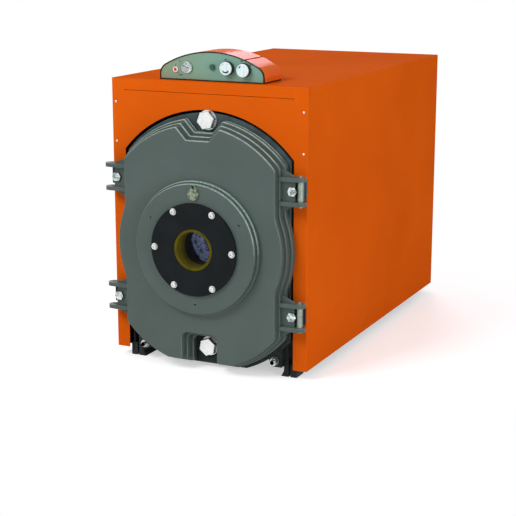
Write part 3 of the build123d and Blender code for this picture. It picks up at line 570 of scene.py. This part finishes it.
def finish_piece(name, work, material, body, smooth=True):
    """Turn a bmesh into a piece, with its normals facing outwards."""
    bmesh.ops.recalc_face_normals(work, faces=work.faces)
    for face in work.faces:
        face.smooth = smooth
    piece = add_piece(name, to_mesh(name, work), material, body)
    if smooth:
        piece.data.set_sharp_from_angle(angle=SHARP_ANGLE)
    return piece


def printed(name, work, ink, body="boiler"):
    """Flat-faced marks in ink."""
    finish_piece(name, work, ink, body, smooth=False)


def around(centre, reach, angle):
    """The (x, z) at a distance and angle from a centre."""
    return centre[0] + reach * cos(angle), centre[1] + reach * sin(angle)


def centre_of(node):
    """(x, z) of a node's middle."""
    low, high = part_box(node)
    return (low.x + high.x) / 2, (low.z + high.z) / 2


def lathe(name, centre, profile, material, body, segments=SEGMENTS):
    """Turn a closed profile of (radius, y) points about the line along Y through a centre."""
    work = bmesh.new()
    rings = []
    for radius, y in profile:
        ring = []
        for index in range(segments if radius else 1):
            x, z = around(centre, radius, 2 * pi * index / segments)
            ring.append(work.verts.new((x, y, z)))
        rings.append(ring)
    for near, far in zip(rings, rings[1:]):
        for index in range(segments):
            after = (index + 1) % segments
            turns = ((near, index), (near, after), (far, after), (far, index))
            corners = dict.fromkeys(ring[turn % len(ring)] for ring, turn in turns)
            if len(corners) > 2:
                work.faces.new(list(corners))
    return finish_piece(name, work, material, body)


def add_bar(work, centre, along, size, y, depth):
    """A thin raised bar on a face that looks towards -Y; along is its direction and size (length, width)."""
    x, z = centre
    ux, uz = cos(along), sin(along)
    vx, vz = -uz, ux
    corners = []
    for near in (y - depth, y):
        for sign_u, sign_v in ((-1, -1), (1, -1), (1, 1), (-1, 1)):
            du, dv = sign_u * size[0] / 2, sign_v * size[1] / 2
            corners.append(work.verts.new((x + du * ux + dv * vx, near, z + du * uz + dv * vz)))
    front, back = corners[:4], corners[4:]
    work.faces.new(front)
    work.faces.new(list(reversed(back)))
    for index in range(4):
        after = (index + 1) % 4
        work.faces.new((front[index], back[index], back[after], front[after]))


def add_crescent(work, centre, radius, width, start, end, near, far):
    """A block bent round a centre, full in the middle and pointed at its ends."""
    columns = []
    for index in range(CRESCENT_STEPS + 1):
        share = index / CRESCENT_STEPS
        angle = start + (end - start) * share
        half = max(width / 2 * sin(pi * share), LIFT)
        column = []
        for y in (near, far):
            for reach in (radius - half, radius + half):
                x, z = around(centre, reach, angle)
                column.append(work.verts.new((x, y, z)))
        columns.append(column)
    for first, second in zip(columns, columns[1:]):
        for a, b in ((0, 1), (1, 3), (3, 2), (2, 0)):
            work.faces.new((first[a], first[b], second[b], second[a]))
    for ends in (columns[0], columns[-1]):
        work.faces.new((ends[0], ends[1], ends[3], ends[2]))


def cross_cutter(centre, y):
    """Cross-shaped block for a screw's recess."""
    work = bmesh.new()
    slot = (SCREW_SLOT_LENGTH, SCREW_SLOT_WIDTH)
    for turn in SCREW_TURNS:
        add_bar(work, centre, turn, slot, y + SCREW_SLOT_DEPTH, 2 * SCREW_SLOT_DEPTH)
    return add_object("cutter", to_mesh("cutter", work))


def carve(piece, cutter):
    """Cut one mesh out of another for good."""
    modifier = piece.modifiers.new("carve", "BOOLEAN")
    modifier.operation = "DIFFERENCE"
    modifier.solver = "EXACT"
    modifier.use_self = True
    modifier.object = cutter
    bpy.context.view_layer.update()
    shaped = bpy.data.meshes.new_from_object(piece.evaluated_get(bpy.context.evaluated_depsgraph_get()))
    piece.modifiers.remove(modifier)
    piece.data = shaped
    bpy.data.objects.remove(cutter)


def panel_screw(name, centre, seat_y, steel):
    """Pan-head screw with a cross recess, facing -Y."""
    face = seat_y - SCREW_HEIGHT
    profile = [(0.0, seat_y), (SCREW_RADIUS, seat_y)]
    for radius, height in SCREW_CROWN:
        profile.append((radius * SCREW_RADIUS, seat_y - height * SCREW_HEIGHT))
    profile.append((0.0, face))
    screw = lathe(name, centre, profile, steel, "boiler")
    carve(screw, cross_cutter(centre, face))
    return screw


def turn_about(piece, y):
    """Turn a piece half round the upright line through x = 0 and a given y."""
    place = Vector((0.0, y, 0.0))
    turn = Matrix.Translation(place) @ Matrix.Rotation(pi, 4, "Z") @ Matrix.Translation(-place)
    piece.data.transform(turn)


def panel_screws(steel):
    """The screws of the front and the rear panel, each where its CAD head is."""
    heights = sorted({round(v.co.z, 4) for v in nodes["panel_screws"].data.vertices})
    middle = (heights[0] + heights[-1]) / 2
    lower = [z for z in heights if z < middle]
    upper = [z for z in heights if z > middle]
    levels = {"lower": (lower[0] + lower[-1]) / 2, "upper": (upper[0] + upper[-1]) / 2}
    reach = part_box("panel_screws")[1].x - SCREW_RADIUS
    front_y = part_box("front_panel")[0].y
    rear_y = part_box("rear_panel")[1].y
    for side, x in (("left", -reach), ("right", reach)):
        for level, z in levels.items():
            panel_screw(f"front_screw_{side}_{level}", (x, z), front_y, steel)
            rear = panel_screw(f"rear_screw_{side}_{level}", (-x, z), rear_y, steel)
            turn_about(rear, rear_y)
    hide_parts("panel_screws")


def dial_angle(share):
    """Direction of a reading, given as a share of the scale."""
    return DIAL_START - DIAL_SWEEP * share


def temperature_gauge(dial, ink, glass):
    """What is behind the gauge's rim, from its dial to its lens."""
    low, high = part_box("temperature_gauge")
    centre = centre_of("temperature_gauge")
    bore = (high.x - low.x) / 2 - GAUGE_RIM
    floor_y = (low.y + high.y) / 2
    face_y = floor_y - DIAL_THICKNESS
    disc = [(0.0, floor_y), (bore, floor_y), (bore, face_y), (0.0, face_y)]
    lathe("gauge_dial", centre, disc, dial, "boiler")
    gauge_scale(centre, bore, face_y, ink)
    gauge_needle(centre, bore, face_y, ink)
    lens_back = low.y + LENS_SETBACK
    lens = [
        (0.0, lens_back),
        (bore, lens_back),
        (bore, lens_back - 2 * LIFT),
        (LENS_SHOULDER * bore, low.y + 2 * LIFT),
        (0.0, low.y + LIFT),
    ]
    lathe("gauge_lens", centre, lens, glass, "boiler")
    gauge_numbers(centre, bore, face_y, ink)


def gauge_scale(centre, bore, face_y, ink):
    """Marks round the dial, every third one long."""
    marks = bmesh.new()
    for index in range(DIAL_MARKS):
        size = SHORT_MARK if index % 3 else LONG_MARK
        angle = dial_angle(index / (DIAL_MARKS - 1))
        reach = bore - MARK_MARGIN - size[0] / 2
        add_bar(marks, around(centre, reach, angle), angle, size, face_y, LIFT)
    printed("gauge_scale", marks, ink)


def gauge_needle(centre, bore, face_y, ink):
    """Needle and the hub under it."""
    angle = dial_angle(NEEDLE_READING)
    needle = bmesh.new()
    size = (NEEDLE_LENGTH * bore, NEEDLE_WIDTH)
    add_bar(needle, around(centre, NEEDLE_OFFSET * bore, angle), angle, size, face_y - 4 * LIFT, LIFT)
    printed("gauge_needle", needle, ink)
    hub = [
        (0.0, face_y),
        (HUB_RADIUS, face_y),
        (HUB_RADIUS, face_y - 6 * LIFT),
        (HUB_TOP_RADIUS, face_y - 8 * LIFT),
        (0.0, face_y - 8 * LIFT),
    ]
    lathe("gauge_hub", centre, hub, ink, "boiler")


def gauge_numbers(centre, bore, face_y, ink):
    """Plain numbers at the start, the middle and the end of the scale."""
    for share, text in NUMBERS:
        curve = bpy.data.curves.new(f"gauge_number_{text}", "FONT")
        curve.body = text
        curve.size = NUMBER_HEIGHT
        curve.align_x = "CENTER"
        curve.align_y = "CENTER"
        draft = bpy.data.objects.new("draft", curve)
        mesh = bpy.data.meshes.new_from_object(draft)
        bpy.data.objects.remove(draft)
        x, z = around(centre, NUMBER_REACH * bore, dial_angle(share))
        upright = Matrix.Rotation(radians(90), 4, "X")
        mesh.transform(Matrix.Translation((x, face_y - LIFT, z)) @ upright)
        add_piece(f"gauge_number_{text}", mesh, ink, "boiler")


def knob_scale(name, knob, ink):
    """Printed marks on the panel round a knob."""
    low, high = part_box(knob)
    reach = (high.x - low.x) / 2 + KNOB_SCALE_GAP
    face_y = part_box("control_fascia")[0].y
    marks = bmesh.new()
    for index in range(KNOB_MARKS):
        angle = dial_angle(index / (KNOB_MARKS - 1))
        add_bar(marks, around(centre_of(knob), reach, angle), angle, KNOB_MARK, face_y, LIFT)
    printed(name, marks, ink)


def knob_pointers(ink):
    """Dark crescent low on the thermostat knob, and the pointer line of the limit knob."""
    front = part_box("thermostat_knob")[0].y
    back = front + KNOB_FACE_DEPTH
    crescent_mark = bmesh.new()
    add_crescent(crescent_mark, centre_of("thermostat_knob"), *KNOB_CRESCENT, front - LIFT, back)
    printed("thermostat_crescent", crescent_mark, ink, "thermostat_knob")
    x, z = centre_of("limit_knob")
    spot = (x + POINTER_OFFSET[0], z + POINTER_OFFSET[1])
    line = bmesh.new()
    add_bar(line, spot, radians(90), POINTER, back, KNOB_FACE_DEPTH + LIFT)
    printed("limit_pointer", line, ink, "limit_knob")


def panel_marks(ink):
    """Plain printed marks beside the controls."""
    low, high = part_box("control_hood")
    face_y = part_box("control_fascia")[0].y
    work = bmesh.new()
    for share_x, share_z, length, height in PANEL_MARKS:
        spot = (share_x * high.x, low.z + share_z * (high.z - low.z))
        add_bar(work, spot, 0.0, (length, height), face_y, LIFT)
    printed("panel_marks", work, ink)


def reset_collar(plastic):
    """Pale collar round the reset button."""
    low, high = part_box("reset_button")
    rim = (high.x - low.x) / 2
    outer = rim + COLLAR_REACH
    lip_y = low.y - 2 * LIFT
    profile = [
        (rim + COLLAR_GAP, high.y),
        (outer, high.y),
        (outer, lip_y + COLLAR_BEVEL),
        (outer - COLLAR_BEVEL, lip_y),
        (rim - COLLAR_LIP, lip_y),
        (rim - COLLAR_REACH, low.y),
        (rim + COLLAR_GAP, low.y),
        (rim + COLLAR_GAP, high.y),
    ]
    lathe("reset_collar", centre_of("reset_button"), profile, plastic, "boiler")


def front_ends(node):
    """Middle (x, z) and radius of each flat end that a node has at its very front, from left to right."""
    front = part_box(node)[0].y
    places = [v.co for v in nodes[node].data.vertices if v.co.y < front + LIFT]
    rims = []
    for place in sorted(places, key=lambda co: co.x):
        for rim in rims:
            if (place - rim[0]).length < END_SPREAD:
                rim.append(place)
                break
        else:
            rims.append([place])
    ends = []
    for rim in rims:
        left, right = min(place.x for place in rim), max(place.x for place in rim)
        low, high = min(place.z for place in rim), max(place.z for place in rim)
        ends.append((((left + right) / 2, (low + high) / 2), (right - left) / 2))
    return ends


def rod_threads(steel):
    """Screw thread on the front ends of the lower tie rods."""
    end_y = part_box("tie_rods")[0].y
    root_y = end_y + THREAD_TURNS * THREAD_PITCH
    for name, (centre, radius) in zip(("left", "right"), front_ends("tie_rods")):
        profile = [(0.0, end_y)]
        for index in range(THREAD_TURNS):
            start = end_y + index * THREAD_PITCH
            profile.append((radius, start))
            profile.append((radius + THREAD_DEPTH, start + THREAD_PITCH / 2))
        profile.append((radius, root_y))
        profile.append((0.0, root_y))
        lathe(f"rod_thread_{name}", centre, profile, steel, "boiler", THREAD_SEGMENTS)


def bolt_dimples(steel):
    """Pressed dish in the middle of each head round the burner plate."""
    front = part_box("plate_bolts")[0].y
    for index, (centre, radius) in enumerate(front_ends("plate_bolts")):
        dish = DIMPLE_SHARE * radius
        profile = [
            (0.0, front),
            (dish, front),
            (dish, front - LIFT),
            (0.8 * dish, front - 2 * LIFT),
            (0.6 * dish, front - LIFT / 2),
            (0.0, front - LIFT / 2),
        ]
        lathe(f"bolt_dimple_{index + 1}", centre, profile, steel, "door", THREAD_SEGMENTS)


def dress(material, *names):
    """Give CAD nodes a material."""
    for name in names:
        for slot in nodes[name].material_slots:
            slot.material = material


def dress_jacket():
    """Looks of the panels and the control housing."""
    dress(painted_sheet("painted_sheet"), "front_panel", "top_panel", "rear_panel")
    dress(painted_sheet("painted_left_sheet", (1.0, 0.0, 0.0)), "left_panel")
    dress(painted_sheet("painted_right_sheet", (-1.0, 0.0, 0.0)), "right_panel")
    dress(painted_hood(), "control_hood")
    dress(fascia_film(), "control_fascia")


def dress_castings():
    """Looks of the cast sections and of what is joined to their back."""
    dress(raw_casting(), "front_section", "rear_section", "corner_brackets", "flue_box")
    dress(fired_iron(), *[name for name in nodes if name.startswith("middle_section")])
    dress(galvanised_steel(), "flow_connection", "return_connection", "flue_collar")


def dress_door():
    """Looks of the door and of all that it carries but its bolts."""
    dress(painted_casting(), "door_casting")
    dress(black_steel(), "burner_plate", "sight_pivot")
    dress(barrel_steel(), "upper_hinge_pin", "lower_hinge_pin")
    dress(fibre_lining("olive_fibre", OLIVE_FIBRE), "throat_ring")
    dress(fibre_lining("sooted_fibre", SOOTED_FIBRE), "door_refractory")
    dress(rope_braid(), "door_seal_rope")
    dress(stamped_cover(), "sight_cover")
    dress(hot_glass(), "sight_glass")


def fit_controls():
    """Looks of the gauge, button, switch and knobs, with the small pieces on them and beside them."""
    ink = moulded_plastic("black_ink", INK_BLACK, (0.5, 0.6))
    green = moulded_plastic("green_plastic", SWITCH_GREEN)
    bezel = moulded_plastic("bezel_plastic", DIAL_GREY, cap=("temperature_gauge", BEZEL_DEPTH))
    knob = moulded_plastic("knob_plastic", KNOB_WHITE, cap=("limit_knob", KNOB_CAP_DEPTH))
    dress(bezel, "temperature_gauge")
    dress(knob, "thermostat_knob", "limit_knob")
    dress(moulded_plastic("red_plastic", BUTTON_RED, (0.15, 0.25)), "reset_button")
    dress(green, "mode_switch")
    temperature_gauge(moulded_plastic("dial_plastic", DIAL_GREY), ink, clear_glass())
    knob_scale("thermostat_scale", "thermostat_knob", ink)
    knob_scale("limit_scale", "limit_knob", ink)
    knob_pointers(ink)
    panel_marks(green)
    reset_collar(moulded_plastic("collar_plastic", COLLAR_ROSE))


def dress_steel(bright, dull):
    """Looks of the plugs, bolts and rods."""
    dress(bright, "plate_bolts", "top_port_plug", "bottom_port_plug")
    dress(dull, "closing_bolts", "tie_rods")


def aim(item, place, target):
    """Stand a lamp or camera at a place and point it at a target."""
    item.location = place
    direction = Vector(target) - Vector(place)
    item.rotation_euler = direction.to_track_quat("-Z", "Y").to_euler()


def seen_directly(tree):
    """1 for camera, glossy and transmission rays, and 0 for light that falls on the object."""
    rays = tree.nodes.new("ShaderNodeLightPath").outputs
    seen = maths(tree, "MAXIMUM", rays["Is Camera Ray"], rays["Is Glossy Ray"])
    return maths(tree, "MAXIMUM", seen, rays["Is Transmission Ray"])


def studio():
    """Soft light from high left, a low one from the right, one from behind, and a lamp in the chamber."""
    for name, place, target, size, power, tint in AREA_LAMPS:
        data = bpy.data.lights.new(name, "AREA")
        data.shape = "RECTANGLE"
        data.size, data.size_y = size
        data.energy = power
        data.color = tint
        aim(add_object(name, data), place, target)
    glow = bpy.data.lights.new("chamber", "POINT")
    glow.energy = CHAMBER_POWER
    glow.color = CHAMBER_TINT
    glow.shadow_soft_size = CHAMBER_LAMP_RADIUS
    x, z = centre_of("throat_ring")
    add_object("chamber", glow).location = (x, CHAMBER_DEPTH, z)


def surroundings():
    """White to the eye and in reflections, and a soft grey light on the object."""
    world = bpy.data.worlds.new("studio")
    bpy.context.scene.world = world
    world.use_nodes = True
    tree = world.node_tree
    background = tree.nodes["Background"]
    background.inputs["Color"].default_value = (*WHITE, 1.0)
    strength = spread(tree, seen_directly(tree), 0.0, 1.0, WORLD_LEVEL, 1.0)
    tree.links.new(strength, background.inputs["Strength"])


def pale_floor():
    """Grey floor that is white to the eye further out."""
    material, tree, shader = new_material("pale_floor")
    shader.inputs["Base Color"].default_value = (*FLOOR_GREY, 1.0)
    shader.inputs["Roughness"].default_value = 0.9
    shader.inputs["Specular IOR Level"].default_value = 0.0
    shader.inputs["Emission Color"].default_value = (*WHITE, 1.0)
    seen = seen_directly(tree)
    tree.links.new(spread(tree, seen, 0.0, 1.0, 0.0, FLOOR_LIFT), shader.inputs["Emission Strength"])
    away = tree.nodes.new("ShaderNodeVectorMath")
    away.operation = "LENGTH"
    tree.links.new(object_place(tree), away.inputs[0])
    fade = maths(tree, "MULTIPLY", spread(tree, away.outputs["Value"], FADE_START, FADE_END), seen)
    white = tree.nodes.new("ShaderNodeEmission")
    mix = tree.nodes.new("ShaderNodeMixShader")
    tree.links.new(fade, mix.inputs["Fac"])
    tree.links.new(shader.outputs["BSDF"], mix.inputs[1])
    tree.links.new(white.outputs["Emission"], mix.inputs[2])
    tree.links.new(mix.outputs["Shader"], tree.nodes["Material Output"].inputs["Surface"])
    return material


def floor():
    """Plane that keeps a soft shadow near the object."""
    work = bmesh.new()
    half = FLOOR_SIZE / 2
    corners = [(-half, -half, 0.0), (half, -half, 0.0), (half, half, 0.0), (-half, half, 0.0)]
    work.faces.new([work.verts.new(corner) for corner in corners])
    mesh = to_mesh("floor", work)
    mesh.materials.append(pale_floor())
    plane = add_object("floor", mesh)


def camera():
    """The view of the photograph."""
    data = bpy.data.cameras.new("camera")
    data.lens = CAMERA_LENS
    data.sensor_width = SENSOR_WIDTH
    view = add_object("camera", data)
    aim(view, CAMERA_PLACE, CAMERA_AIM)
    bpy.context.scene.camera = view


bright_zinc = zinc_steel("bright_zinc", BRIGHT_ZINC)
dull_zinc = zinc_steel("dull_zinc", DULL_ZINC, 90.0)
dress_jacket()
dress_castings()
dress_door()
dress_steel(bright_zinc, dull_zinc)
panel_screws(bright_zinc)
fit_controls()
rod_threads(bright_zinc)
bolt_dimples(dull_zinc)
studio()
surroundings()
floor()
camera()
bpy.context.scene.view_settings.view_transform = "Standard"
